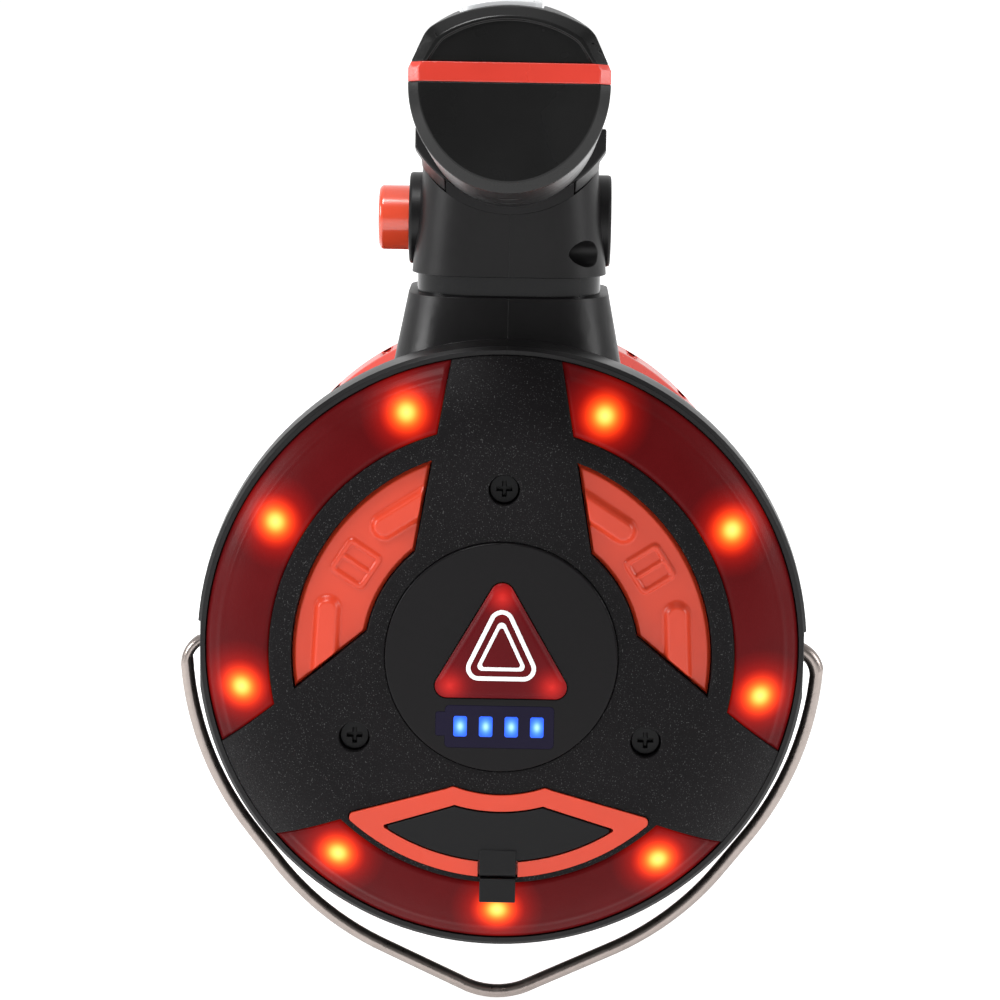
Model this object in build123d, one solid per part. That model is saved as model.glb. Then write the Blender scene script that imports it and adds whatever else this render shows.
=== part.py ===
from build123d import *
import math
import os

# Hand-held searchlight with a swinging grip and a wire bail. Millimetres, +Z up.
# The origin is on the beam axis, in the plane of the front bezel's rim. The beam
# leaves along +Y, the rear cover faces -Y, and "depth" runs forward from the rear
# face of the centre hub, so a depth d lies at Y = REAR + d.

HEAD_LENGTH = 112.0
REAR = -HEAD_LENGTH
WALL = 2.3

# rear cover, seen from behind
PANEL_R = 22.4
HUB_R = 26.3
PAD_R = 40.5
LENS_IN_R = 44.8
LENS_OUT_R = 57.6
FLAT_R = 40.0
DOME_DROP = 7.0
ARM_ANGLES = (90, 210, 330)
ARM_HALF_OUT = 10.0
ARM_HALF_IN = 17.6
SCREW_CIRCLE_R = 32.5
LED_CIRCLE_R = 50.6
LED_SPREAD = 38.0
COVER_SKIN = 2.4
FRAME_R = 43.6
FRAME_CORNER = 0.9
FLAP_R = 40.2
FLAP_CORNER = 0.4

# raised bars and tile of the right inlay: x, z, lean in degrees (and length); the left one mirrors them
PAD_BARS = ((17.6, 28.4, -33.0, 18.4), (34.0, 0.4, -87.0, 22.4))
PAD_BAR_W = 4.6
PAD_TILE = (28.2, 17.6, 33.0)

# warning triangle and the line printed on it: apex, base, half base, corner radius
WARNING = (16.9, -7.9, 14.4, 2.3)
SYMBOL = (12.8, -4.3, 8.15, 2.45)

# housing
BALL_R = 59.6
BAIL_DEPTH = 14.0
RIM_DEPTH = 7.4
WAIST_R = 50.0
WAIST_DEPTH = 56.0
HOUSING_END = 93.0
BEZEL_R = 54.0

# bail
WIRE_R = 1.6
BAIL_ARC_R = 62.0
BAIL_V_ANGLE = 25.0
BAIL_APEX_Z = -72.1

# neck, pivot and grip
FOOT_TOP = 67.0
NECK_BOTTOM = 70.9
NECK_DEPTH = (24.0, 60.0)
PIVOT_DEPTH = 42.0
PIVOT_Z = 81.0
CHEEK_R = 12.2
CHEEK_IN = 12.6
HUB_CORE_R = 8.0
BOSS_R = 9.15
SADDLE_Z = 83.4
SADDLE_R = 22.0
GRIP_TAIL = -60.0
GRIP_NOSE = 41.2
GRIP_TILT = 6.0
BAND_Z = 114.0
BAND_HALF = 1.7
GRIP_HALF_W = 17.4
GRIP_TOP = 13.2
GRIP_BOTTOM = 20.6
TAIL_BEVEL = 1.9
CROWN_AT = 12.0
CROWN_DROP = 1.7
SHOULDER_R = 4.5
SHELL = 2.2
TAIL_WALL = 2.6
NOSE_ROUND = (26.0, 103.0)
COLLAR_START = 12.0
COLLAR_TOP = 100.8
LIP_END = 15.5
LIP_HALF_W = 18.3
COLLAR_HALF_W = 17.2
LIP_RISE = 2.8
GRIP_SCREWS = (34.5, 58.0)
POWER_SPAN = (4.2, 28.2)
POWER_W = 14.0
POWER_X = -1.6
POWER_PROUD = 0.9
BOARD_LENGTH = 24.0
LEAD_END = 73.4
RUN = 0.3

BUTTON_R = 6.45
BUTTON_OUT = 26.2
COLLAR_OUT = 20.1
COLLAR_IN = 16.8

nodes = {}


def plate(face, near, far):
    """A face drawn in X and Z, made solid from depth near to depth far."""
    return extrude(Plane.XZ.offset(-(REAR + far)) * face, far - near)


def disc(radius, near, far, x=0.0, z=0.0):
    """A round solid along Y."""
    return plate(Pos(x, z) * Circle(radius), near, far)


def spun(*edges):
    """A closed outline of (radius, depth) edges turned about the beam axis."""
    return revolve(Pos(0, REAR, 0) * make_face(edges), Axis.Y)


def rod_x(radius, x0, x1, depth, z):
    """A round solid along X."""
    return Pos((x0 + x1) / 2, REAR + depth, z) * Rot(0, 90, 0) * Cylinder(radius, x1 - x0)


def block(x0, x1, near, far, z0, z1):
    """A rectangular solid between two corners, with its Y given as depth."""
    size = Box(x1 - x0, far - near, z1 - z0)
    return Pos((x0 + x1) / 2, REAR + (near + far) / 2, (z0 + z1) / 2) * size


def polar(radius, angle):
    """X and Z of a point of the rear face."""
    return radius * math.cos(math.radians(angle)), radius * math.sin(math.radians(angle))


def keep(name, shape):
    """Files the solids of a sub-part under its node name."""
    solids = shape.solids()
    nodes[name] = solids[0] if len(solids) == 1 else Compound(children=solids)


# ---------------------------------------------------------------- rear outlines

def arm(half_out, half_in):
    """One arm of the cover, pointing up, wider towards the hub."""
    return Polygon((-half_out, 60), (half_out, 60), (half_in, 16), (-half_in, 16), align=None)


def arms(grow=0.0):
    """The three arms, grown sideways by a gap."""
    shape = Sketch()
    for angle in ARM_ANGLES:
        shape += Rot(0, 0, angle - 90) * arm(ARM_HALF_OUT + grow, ARM_HALF_IN + grow)
    return shape


def ring(outer, inner):
    """A flat ring between two radii."""
    return Circle(outer) - Circle(inner)


def sector(face, centre_angle):
    """The third of a face that lies about one angle."""
    reach = 80
    edge = [polar(reach, centre_angle + turn) for turn in (-60, -20, 20, 60)]
    return face & Polygon((0, 0), *edge, align=None)


def frame_outline(grow=0.0):
    """The bat-shaped outline of the port frame; grow moves its sides outwards."""
    brow = [(-30.5, -31.6 + grow), (-10.2, -26.0 + grow), (-8.9, -25.5 + grow)]
    dip = ThreePointArc(brow[2], (0, -27.1 + grow), (8.9, -25.5 + grow))
    left = Polyline(brow)
    right = Polyline([(8.9, -25.5 + grow), (10.2, -26.0 + grow), (30.5, -31.6 + grow)])
    under = Polyline([(30.5, -31.6 + grow), (30.5, -50), (-30.5, -50), (-30.5, -31.6 + grow)])
    wedge = make_face([left, dip, right, under])
    width = 29.0 + grow
    shape = wedge & Circle(FRAME_R + grow) & Pos(0, -35) * Rectangle(2 * width, 40)
    return fillet(shape.vertices(), FRAME_CORNER)


def flap_outline(grow=0.0):
    """The outline of the rubber port cover inside its frame."""
    brow = [(-27.0, -35.2 + grow), (-9.4, -29.8 + grow), (-8.6, -29.5 + grow)]
    dip = ThreePointArc(brow[2], (0, -30.7 + grow), (8.6, -29.5 + grow))
    left = Polyline(brow)
    right = Polyline([(8.6, -29.5 + grow), (9.4, -29.8 + grow), (27.0, -35.2 + grow)])
    under = Polyline([(27.0, -35.2 + grow), (27.0, -50), (-27.0, -50), (-27.0, -35.2 + grow)])
    wedge = make_face([left, dip, right, under])
    shape = wedge & Circle(FLAP_R + grow)
    return fillet(shape.vertices(), FLAP_CORNER)


def triangle(apex, base, half, corner, grow=0.0):
    """A triangle with rounded corners, point up, about X = 0; grow moves its sides outwards."""
    lean = math.atan2(half, apex - base)
    tip = apex + grow / math.sin(lean)
    foot = base - grow
    wide = (tip - foot) * math.tan(lean)
    face = Polygon((0, tip), (-wide, foot), (wide, foot), align=None)
    return fillet(face.vertices(), corner + grow)


def dome(skin, top=0.0):
    """The domed rear skin: flat to FLAT_R, then falling by DOME_DROP to the rim."""
    span = LENS_OUT_R - FLAT_R
    bend = (span ** 2 + DOME_DROP ** 2) / (2 * DOME_DROP)
    mid = span / 2
    mid_drop = bend - math.sqrt(bend ** 2 - mid ** 2)
    low = top + skin
    return spun(
        Line((0, top), (FLAT_R, top)),
        ThreePointArc((FLAT_R, top), (FLAT_R + mid, top + mid_drop), (LENS_OUT_R, top + DOME_DROP)),
        Line((LENS_OUT_R, top + DOME_DROP), (LENS_OUT_R, low + DOME_DROP)),
        ThreePointArc((LENS_OUT_R, low + DOME_DROP), (FLAT_R + mid, low + mid_drop), (FLAT_R, low)),
        Line((FLAT_R, low), (0, low)),
        Line((0, low), (0, top)),
    )


# ------------------------------------------------------------------ rear cover

def make_rear_cover():
    """Three-armed black cover with its ribs, windows and screw wells."""
    windows = ring(LENS_OUT_R + 1, LENS_IN_R) - arms()
    pads = ring(PAD_R, HUB_R) - arms()
    holes = windows + sector(pads, 150) + sector(pads, 30) + frame_outline()
    cover = dome(COVER_SKIN)
    for angle in ARM_ANGLES:
        x, z = polar(SCREW_CIRCLE_R, angle)
        cover += disc(4.6, 1.0, 9.0, x, z)
    cover -= plate(holes, -2, 12)
    cover -= disc(PANEL_R + 0.05, -1, 0.9)
    cover -= plate(triangle(*WARNING, 0.55), -1, 5)
    cover -= plate(Pos(-0.2, -13.6) * Rectangle(22.2, 9.4), -1, 5)
    for angle in ARM_ANGLES:
        x, z = polar(SCREW_CIRCLE_R, angle)
        cover -= disc(3.0, -1, 4.2, x, z)
        cover -= disc(1.6, -1, 10, x, z)
    rib = plate(ring(LENS_IN_R - 0.1, LENS_IN_R - 1.7) & Pos(0, 22) * Rectangle(100, 90), 1.2, 8.0)
    cover += rib
    keep("rear_cover", cover)


def make_cover_screws():
    """Three cross-head screws that hold the cover."""
    screws = []
    for angle in ARM_ANGLES:
        x, z = polar(SCREW_CIRCLE_R, angle)
        screw = disc(2.75, 2.2, 4.2, x, z) + disc(1.5, 4.2, 14.0, x, z)
        cross = Rectangle(3.0, 0.75) + Rectangle(0.75, 3.0)
        screw -= plate(Pos(x, z) * cross, 2.0, 3.4)
        screws.append(screw)
    keep("cover_screws", Compound(children=screws))


def make_beacon():
    """Lenses, lamp board and nine lamps of the rear beacon ring."""
    band = ring(LENS_OUT_R, LENS_IN_R + 0.1) - arms(0.1)
    skin = dome(1.9)
    for name, angle in (("left", 150), ("right", 30), ("bottom", 270)):
        lens = skin & plate(sector(band, angle), -1, 12)
        if name == "bottom":
            lens -= block(-3.8, 3.8, -1, 4, -50, -43)
        keep("beacon_lens_" + name, lens)
    board = plate(ring(53.6, 45.2), 9.0, 10.4)
    lamps = []
    for angle in (150, 30, 270):
        for turn in (-LED_SPREAD, 0, LED_SPREAD):
            x, z = polar(LED_CIRCLE_R, angle + turn)
            bead = Pos(x, REAR + 7.4, z) * Sphere(2.0)
            lamps.append(disc(2.5, 7.4, 9.0, x, z) + (bead - disc(3, 7.4, 10, x, z)))
    keep("beacon_board", board)
    keep("beacon_leds", Compound(children=lamps))


def make_pads():
    """Orange rubber inlays in the two upper windows of the cover."""
    pads = ring(PAD_R - 0.15, HUB_R + 0.15) - arms(0.15)
    for name, angle in (("left", 150), ("right", 30)):
        pad = plate(sector(pads, angle), 0.5, 3.4)
        side = math.copysign(1, 90 - angle)
        x, z, lean = PAD_TILE
        bars = Pos(side * x, z) * Rot(0, 0, side * lean) * RectangleRounded(8.0, 8.0, 1.2)
        for x, z, lean, length in PAD_BARS:
            bars += Pos(side * x, z) * Rot(0, 0, side * lean) * SlotOverall(length, PAD_BAR_W)
        pad += plate(bars & sector(pads, angle), 0.0, 0.6)
        keep("pad_" + name, pad)


def make_centre():
    """Round centre panel with the warning button and the charge window."""
    window = Pos(-0.15, -13.6) * RectangleRounded(21.1, 8.4, 0.9)
    nub = Pos(-11.3, -13.1) * RectangleRounded(2.4, 4.8, 0.5)
    glass = window + nub
    panel = disc(PANEL_R, -0.5, 0.9)
    panel = fillet(panel.edges().group_by(Axis.Y)[0], 0.35)
    panel -= plate(triangle(*WARNING, 0.25), -2, 2)
    panel -= plate(glass, -2, 2)
    keep("centre_panel", panel)
    keep("battery_window", plate(glass, -0.5, 0.9))
    button = plate(triangle(*WARNING), -1.5, 0.9)
    button = chamfer(button.edges().group_by(Axis.Y)[0], 0.6)
    button += plate(triangle(*WARNING, -0.9), 0.9, 2.6)
    button += disc(2.0, 2.6, 4.3)
    keep("warning_button", button)
    outer = triangle(*SYMBOL) - triangle(*SYMBOL, -0.85)
    inner = triangle(*SYMBOL, -1.7) - triangle(*SYMBOL, -2.3)
    keep("warning_symbol", plate(outer + inner, -1.6, -1.5))
    board = plate(Rectangle(38, 34), 6.8, 8.2)
    keep("rear_board", board)
    switch = block(-3.1, 3.1, 5.3, 6.8, -3.1, 3.1)
    keep("warning_switch", switch)
    lamps = []
    for place in range(4):
        x = -7.7 + 4.93 * place
        lamps.append(block(x - 1.25, x + 1.25, 1.2, 6.8, -15.6, -11.5))
    keep("level_leds", Compound(children=lamps))


def make_ports():
    """Charging and output sockets behind a rubber cover in an orange frame."""
    hinge_gap = block(-3.9, 3.9, -1.4, 1.4, -45.2, -38.0)
    frame = plate(frame_outline(-0.1) - flap_outline(0.35), -0.4, 2.6)
    frame -= hinge_gap
    keep("port_frame", frame)
    panel = plate(flap_outline(1.4), 2.6, 4.4)
    socket_a = Pos(-7.6, -35.0) * Rectangle(13.2, 5.8)
    socket_b = Pos(7.4, -35.0) * RectangleRounded(7.6, 3.0, 0.7)
    panel -= plate(socket_a + socket_b, 2, 5)
    keep("port_panel", panel)
    shell = Pos(-7.6, -35.0) * (Rectangle(13.1, 5.7) - Rectangle(12.5, 5.1))
    usb_a = plate(shell, 2.6, 16.0)
    usb_a += plate(Pos(-7.6, -34.0) * Rectangle(11.2, 1.9), 4.6, 16.0)
    usb_a += block(-14.15, -1.05, 16.0, 17.0, -37.85, -32.15)
    keep("usb_a_socket", usb_a)
    lip = Pos(7.4, -35.0) * (RectangleRounded(7.5, 2.9, 0.65) - RectangleRounded(6.9, 2.3, 0.4))
    micro = plate(lip, 2.6, 8.0) + plate(Pos(7.4, -35.0) * Rectangle(3.7, 0.6), 4.0, 8.0)
    micro += block(3.65, 11.15, 8.0, 9.0, -36.45, -33.55)
    keep("micro_usb_socket", micro)
    flap = plate(flap_outline(), -0.6, 1.6)
    tab = block(-3.5, 3.5, -0.9, 0.9, -42.4, -38.0)
    knuckle = rod_x(0.9, -3.5, 3.5, 0.0, -42.4)
    flap += tab + knuckle
    keep("port_cover", flap)
    strap = block(-3.5, 3.5, -0.9, 0.2, -48.4, -43.7)
    strap += block(-3.5, 3.5, 0.2, 3.0, -48.4, -45.4)
    keep("port_strap", strap)


# ------------------------------------------------------------------- housing

def foot_loft(z_low, z_high):
    """The block under the neck, wider towards the head."""
    low = Pos(0, REAR + 43.5, z_low) * RectangleRounded(51.0, 55.0, 13)
    high = Pos(0, REAR + 42.0, z_high) * RectangleRounded(39.8, 38.0, 11)
    return loft([low, high])


def make_housing():
    """Two clamshell halves: a ball-shaped rear, a waist and the foot of the neck."""
    deep = 30.0
    mid = 12.0
    ball_end = math.sqrt(BALL_R ** 2 - deep ** 2)
    ball_mid = math.sqrt(BALL_R ** 2 - mid ** 2)
    rim = math.sqrt(BALL_R ** 2 - (BAIL_DEPTH - RIM_DEPTH - 0.8) ** 2)
    bore_r = BALL_R - WALL
    bore_end = math.sqrt(bore_r ** 2 - deep ** 2)
    bore_mid = math.sqrt(bore_r ** 2 - mid ** 2)
    inner_waist = WAIST_R - WALL
    lip_r = LENS_OUT_R + 0.1
    skin = spun(
        Line((lip_r, RIM_DEPTH), (rim - 0.7, RIM_DEPTH)),
        Line((rim - 0.7, RIM_DEPTH), (rim, RIM_DEPTH + 0.8)),
        ThreePointArc((rim, RIM_DEPTH + 0.8), (ball_mid, BAIL_DEPTH + mid), (ball_end, BAIL_DEPTH + deep)),
        Line((ball_end, BAIL_DEPTH + deep), (WAIST_R, WAIST_DEPTH)),
        Line((WAIST_R, WAIST_DEPTH), (WAIST_R, HOUSING_END)),
        Line((WAIST_R, HOUSING_END), (inner_waist, HOUSING_END)),
        Line((inner_waist, HOUSING_END), (inner_waist, WAIST_DEPTH)),
        Line((inner_waist, WAIST_DEPTH), (bore_end, BAIL_DEPTH + deep)),
        ThreePointArc((bore_end, BAIL_DEPTH + deep), (bore_mid, BAIL_DEPTH + mid), (bore_r, BAIL_DEPTH)),
        Line((bore_r, BAIL_DEPTH), (53.9, BAIL_DEPTH)),
        Line((53.9, BAIL_DEPTH), (53.9, 11.6)),
        Line((53.9, 11.6), (lip_r, 11.6)),
        Line((lip_r, 11.6), (lip_r, RIM_DEPTH)),
    )
    core = spun(
        Line((0, BAIL_DEPTH), (bore_r, BAIL_DEPTH)),
        ThreePointArc((bore_r, BAIL_DEPTH), (bore_mid, BAIL_DEPTH + mid), (bore_end, BAIL_DEPTH + deep)),
        Line((bore_end, BAIL_DEPTH + deep), (inner_waist, WAIST_DEPTH)),
        Line((inner_waist, WAIST_DEPTH), (inner_waist, HOUSING_END)),
        Line((inner_waist, HOUSING_END), (0, HOUSING_END)),
        Line((0, HOUSING_END), (0, BAIL_DEPTH)),
    )
    foot = foot_loft(38.0, FOOT_TOP)
    shell = skin + (foot - core)
    shell -= block(-15, 15, 27, 57, 30, 64.4)
    shell -= Pos(0, REAR + PIVOT_DEPTH, 64) * Cylinder(4.0, 10)
    for rib in range(5):
        near = 67.0 + 5.0 * rib
        groove = plate(ring(WAIST_R + 1, WAIST_R - 0.9), near, near + 2.4)
        shell -= groove - foot_loft(38.0, FOOT_TOP)
    for side in (-1, 1):
        flat = Pos(side * (58.7 + 3), REAR + BAIL_DEPTH, -2) * Box(6, 16, 13)
        shell -= flat
        ends = sorted((side * 58.7, side * 54.0))
        shell += rod_x(4.2, ends[0], ends[1], BAIL_DEPTH, 0)
        shell -= rod_x(2.7, ends[0] - 1, ends[1] + 1, BAIL_DEPTH, 0)
    keep("housing_left", shell & block(-80, 0, -20, 130, -80, 80))
    keep("housing_right", shell & block(0, 80, -20, 130, -80, 80))


def make_bail():
    """Stainless wire bail: two hooked ends, round shoulders and a blunt point."""
    slope = math.radians(BAIL_V_ANGLE)
    turn = math.radians(38)
    shoulder = (BAIL_ARC_R * math.cos(turn), -BAIL_ARC_R * math.sin(turn))
    run = (-math.sin(turn), -math.cos(turn))
    reach = (BAIL_APEX_Z - shoulder[1] + math.tan(slope) * shoulder[0])
    reach /= run[1] - math.tan(slope) * run[0]
    corner = (shoulder[0] + reach * run[0], shoulder[1] + reach * run[1])
    start = math.radians(4.2)
    top = (BAIL_ARC_R * math.cos(start), -BAIL_ARC_R * math.sin(start))
    mid = (BAIL_ARC_R * math.cos(math.radians(21)), -BAIL_ARC_R * math.sin(math.radians(21)))
    lower = FilletPolyline(
        shoulder, corner, (0, BAIL_APEX_Z), (-corner[0], corner[1]), (-shoulder[0], shoulder[1]),
        radius=(58.0, 15.0, 58.0))
    elbow_r = 3.6
    inner = 53.4
    right = ThreePointArc(top, mid, shoulder)
    left = ThreePointArc((-shoulder[0], shoulder[1]), (-mid[0], mid[1]), (-top[0], top[1]))
    bend = (top[0] - elbow_r * 0.3, top[1] + elbow_r * 0.72)
    right_hook = [Line((inner, 0), (top[0] - elbow_r, 0)),
                  ThreePointArc((top[0] - elbow_r, 0), bend, top)]
    left_hook = [ThreePointArc((-top[0], top[1]), (-bend[0], bend[1]), (-top[0] + elbow_r, 0)),
                 Line((-top[0] + elbow_r, 0), (-inner, 0))]
    flat = Wire(right_hook + [right] + list(lower.edges()) + [left] + left_hook)
    path = Plane.XZ.offset(-(REAR + BAIL_DEPTH)) * flat
    section = Plane(origin=(inner, REAR + BAIL_DEPTH, 0), z_dir=(1, 0, 0)) * Circle(WIRE_R)
    wire = sweep(section, path=path)
    keep("bail", wire)
    bushes = []
    for side in (-1, 1):
        ends = sorted((side * 54.0, side * 58.1))
        bush = rod_x(2.7, ends[0], ends[1], BAIL_DEPTH, 0)
        bush -= rod_x(WIRE_R + 0.08, ends[0] - 1, ends[1] + 1, BAIL_DEPTH, 0)
        bushes.append(bush)
    keep("bail_bushes", Compound(children=bushes))


# -------------------------------------------------------------- front and inside

def make_front():
    """Bezel, gasket, window, reflector, lamp and heat sink."""
    bezel = spun(
        Line((49.0, 94.0), (51.6, 94.0)),
        Line((51.6, 94.0), (BEZEL_R, 98.0)),
        Line((BEZEL_R, 98.0), (BEZEL_R, 109.0)),
        ThreePointArc((BEZEL_R, 109.0), (BEZEL_R - 0.9, 111.1), (BEZEL_R - 3.0, HEAD_LENGTH)),
        Line((BEZEL_R - 3.0, HEAD_LENGTH), (47.0, HEAD_LENGTH)),
        Line((47.0, HEAD_LENGTH), (44.6, 109.4)),
        Line((44.6, 109.4), (49.0, 109.4)),
        Line((49.0, 109.4), (49.0, 94.0)),
    )
    grips = []
    for turn in range(24):
        x, z = polar(BEZEL_R + 0.5, 15 * turn)
        grips.append(disc(1.5, 99.5, 108.0, x, z))
    for grip in grips:
        bezel -= grip
    keep("front_bezel", bezel)
    sleeve = plate(ring(WAIST_R - WALL, 45.4), 78, 93) + plate(ring(48.9, 45.4), 93, 105.4)
    keep("lamp_sleeve", sleeve)
    keep("front_lens", disc(48.9, 107.0, 109.4))
    keep("lens_gasket", plate(ring(48.9, 45.6), 105.4, 107.0))
    depth_near = 66.0
    depth_far = 105.4
    throat = 7.0
    focus = (45.2 ** 2 - throat ** 2) / (4 * (depth_far - depth_near))
    curve = []
    for step in range(7):
        r = throat + (45.2 - throat) * step / 6
        curve.append((r, depth_near + (r ** 2 - throat ** 2) / (4 * focus)))
    back = [(r + 0.2, y - 1.6) for r, y in curve[:-1]]
    inside = Spline(curve)
    outside = Spline([(45.3, depth_far - 2.4)] + list(reversed(back)))
    reflector = spun(
        inside,
        Line(curve[-1], (45.3, depth_far - 2.4)),
        outside,
        Line(back[0], curve[0]),
    )
    keep("reflector", reflector)
    sink = disc(30.0, 56.0, 62.0)
    for fin in range(9):
        x = -24 + 6 * fin
        half = math.sqrt(30.0 ** 2 - x ** 2) - 1
        sink += block(x - 0.9, x + 0.9, 50.0, 56.0, -half, half)
    sink += plate(ring(47.6, 28.0), 60.0, 62.0)
    keep("heat_sink", sink)
    lamp = disc(6.0, 62.0, 63.6) + disc(3.4, 63.6, 65.0)
    lamp += Pos(0, REAR + 65.0, 0) * Sphere(2.8) & block(-4, 4, 60, 70, -4, 4)
    keep("main_led", lamp)


def make_inside():
    """Battery, its tray and the driver board."""
    cells = []
    for row in range(3):
        z = 19.2 * (row - 1)
        cell = rod_x(9.1, -32.5, 31.0, 30.0, z) + rod_x(3.2, 31.0, 32.5, 30.0, z)
        cells.append(cell)
    keep("battery_cells", Compound(children=cells))
    tray = block(-35.0, 35.0, 39.3, 41.3, -30, 30)
    for end in (-1, 1):
        ends = sorted((end * 32.6, end * 35.0))
        tray += block(ends[0], ends[1], 20.6, 41.3, -30, 30)
    keep("battery_holder", tray)
    keep("driver_board", block(-30, 30, 43.0, 44.6, -24, 24))
    coil = disc(6.0, 44.6, 48.6, -15, 0)
    keep("driver_coil", coil)


# -------------------------------------------------------------------- neck

def saddle(grow=0.0):
    """The round trough along Y in which the collar of the grip rests."""
    return Pos(0, REAR + 10, SADDLE_Z + SADDLE_R) * Rot(90, 0, 0) * Cylinder(SADDLE_R + grow, 160)


def about_pivot(radius, half_width):
    """A round solid on the grip's pivot axis."""
    return rod_x(radius, -half_width, half_width, PIVOT_DEPTH, PIVOT_Z)


def make_neck():
    """Two halves that hold the grip's pivot, over a gloss ring on the foot."""
    centre = sum(NECK_DEPTH) / 2
    low = Pos(0, REAR + centre, NECK_BOTTOM) * RectangleRounded(38.6, 36, 11.9)
    high = Pos(0, REAR + centre, 94.0) * RectangleRounded(34.4, 36, 11.9)
    neck = loft([low, high])
    cheeks = about_pivot(CHEEK_R, 20)
    top = block(-20, 20, 20, 70, PIVOT_Z - 0.4, 100)
    shelf = (top & block(-20, 20, 20, PIVOT_DEPTH, 60, 100)) - saddle() + (top & cheeks)
    neck = (neck - top) + (neck & shelf)
    slot = about_pivot(HUB_CORE_R + RUN, CHEEK_IN)
    slot += block(-CHEEK_IN, CHEEK_IN, PIVOT_DEPTH - 14, 62, PIVOT_Z - 0.4, 100) - (
        block(-20, 20, 20, PIVOT_DEPTH - 9, 60, 100) - saddle())
    neck -= slot
    for side in (-1, 1):
        ends = sorted((side * COLLAR_IN, side * 22))
        neck -= rod_x(BOSS_R + 0.05, ends[0], ends[1], PIVOT_DEPTH, PIVOT_Z)
    neck -= rod_x(BUTTON_R + RUN, -22, -14.2, PIVOT_DEPTH, PIVOT_Z)
    neck -= rod_x(4.5, -15, 15.0, PIVOT_DEPTH, PIVOT_Z)
    neck -= Pos(0, REAR + PIVOT_DEPTH, 72) * Cylinder(3.0, 6)
    screw_z = 75.6
    for depth in (27.6, 56.4):
        neck -= rod_x(2.6, 9.5, 25, depth, screw_z)
        neck -= rod_x(1.5, -9, 12, depth, screw_z)
    keep("neck_left", neck & block(-40, 0, 0, 90, 60, 110))
    keep("neck_right", neck & block(0, 40, 0, 90, 60, 110))
    screws = []
    for depth in (27.6, 56.4):
        screw = rod_x(2.4, 9.5, 11.2, depth, screw_z) + rod_x(1.5, -9, 9.5, depth, screw_z)
        screw -= block(10.4, 12, depth - 1.5, depth + 1.5, screw_z - 0.4, screw_z + 0.4)
        screw -= block(10.4, 12, depth - 0.4, depth + 0.4, screw_z - 1.5, screw_z + 1.5)
        screws.append(screw)
    keep("neck_screws", Compound(children=screws))
    ring_face = RectangleRounded(36.4, 33.6, 11) - Circle(3.9)
    keep("neck_ring", Pos(0, REAR + centre, FOOT_TOP) * extrude(ring_face, NECK_BOTTOM - FOOT_TOP))


def make_pivot():
    """Sleeve on which the grip turns, with the lock button through it."""
    sleeve = rod_x(4.45, -14.2, 15.0, PIVOT_DEPTH, PIVOT_Z)
    sleeve -= rod_x(3.1, -20, 20, PIVOT_DEPTH, PIVOT_Z)
    keep("pivot_sleeve", sleeve)
    collar = rod_x(BOSS_R, -COLLAR_OUT, -COLLAR_IN, PIVOT_DEPTH, PIVOT_Z)
    collar = chamfer(collar.edges().group_by(Axis.X)[0], 0.35)
    collar -= rod_x(BUTTON_R + RUN, -25, -10, PIVOT_DEPTH, PIVOT_Z)
    keep("lock_collar", collar)
    cap = rod_x(BOSS_R, COLLAR_IN, COLLAR_OUT, PIVOT_DEPTH, PIVOT_Z)
    cap = chamfer(cap.edges().group_by(Axis.X)[-1], 0.35)
    cap -= rod_x(5.6, COLLAR_OUT - 0.7, 25, PIVOT_DEPTH, PIVOT_Z)
    keep("pivot_cap", cap)
    button = rod_x(BUTTON_R, -BUTTON_OUT, -17.2, PIVOT_DEPTH, PIVOT_Z)
    button = fillet(button.edges().group_by(Axis.X)[0], 1.0)
    button -= rod_x(5.0, -22.0, -10, PIVOT_DEPTH, PIVOT_Z)
    button += rod_x(2.8, -22.0, 8.0, PIVOT_DEPTH, PIVOT_Z)
    keep("lock_button", button)
    coil = Helix(pitch=1.5, height=7.2, radius=3.9, center=(-21.7, REAR + PIVOT_DEPTH, PIVOT_Z),
                 direction=(1, 0, 0))
    start = Plane(origin=coil @ 0, z_dir=coil % 0)
    keep("lock_spring", sweep(start * Circle(0.3), path=coil))


# --------------------------------------------------------------------- grip

def grip_place():
    """From the grip's own frame (tail at the origin, +Y forward) to the part's."""
    return Pos(0, REAR + GRIP_TAIL, BAND_Z) * Rot(-GRIP_TILT, 0, 0)


def grip_section(inset=0.0, drop=0.0):
    """Arched top, sloping shoulders and a half-oval underside; drop lowers the arch."""
    half = GRIP_HALF_W - inset
    top = GRIP_TOP - inset - drop
    low = GRIP_BOTTOM - inset
    shoulder = (half - 3.1, GRIP_TOP - 5.0 - 0.8 * inset - drop / 2)
    arch = ThreePointArc((-shoulder[0], shoulder[1]), (0, top), shoulder)
    right = Line(shoulder, (half, 0.6))
    left = Line((-half, 0.6), (-shoulder[0], shoulder[1]))
    side_r = Line((half, 0.6), (half, -2.0))
    side_l = Line((-half, -2.0), (-half, 0.6))
    under = EllipticalCenterArc((0, -2.0), half, low - 2.0, start_angle=180, arc_size=180)
    face = make_face([arch, right, side_r, under, side_l, left])
    return fillet(face.vertices().group_by(Axis.Y)[-1], SHOULDER_R)


def grip_bar(inset, near, far):
    """The grip's section carried along its own axis; its arch rises from the tail to CROWN_AT."""
    stops = [near] + [stop for stop in (TAIL_BEVEL, CROWN_AT) if near < stop < far] + [far]
    sections = []
    for along in stops:
        short = min(1.0, max(0.0, (CROWN_AT - along) / (CROWN_AT - TAIL_BEVEL)))
        sections.append(Plane.XZ.offset(-along) * grip_section(inset, CROWN_DROP * short))
    return grip_place() * loft(sections, ruled=True)


def grip_slab(low, high, near=-10.0, far=140.0):
    """A slab of the grip between two heights of its own frame."""
    centre = Pos(0, (near + far) / 2, (low + high) / 2)
    return grip_place() * centre * Box(60, far - near, high - low)


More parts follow.
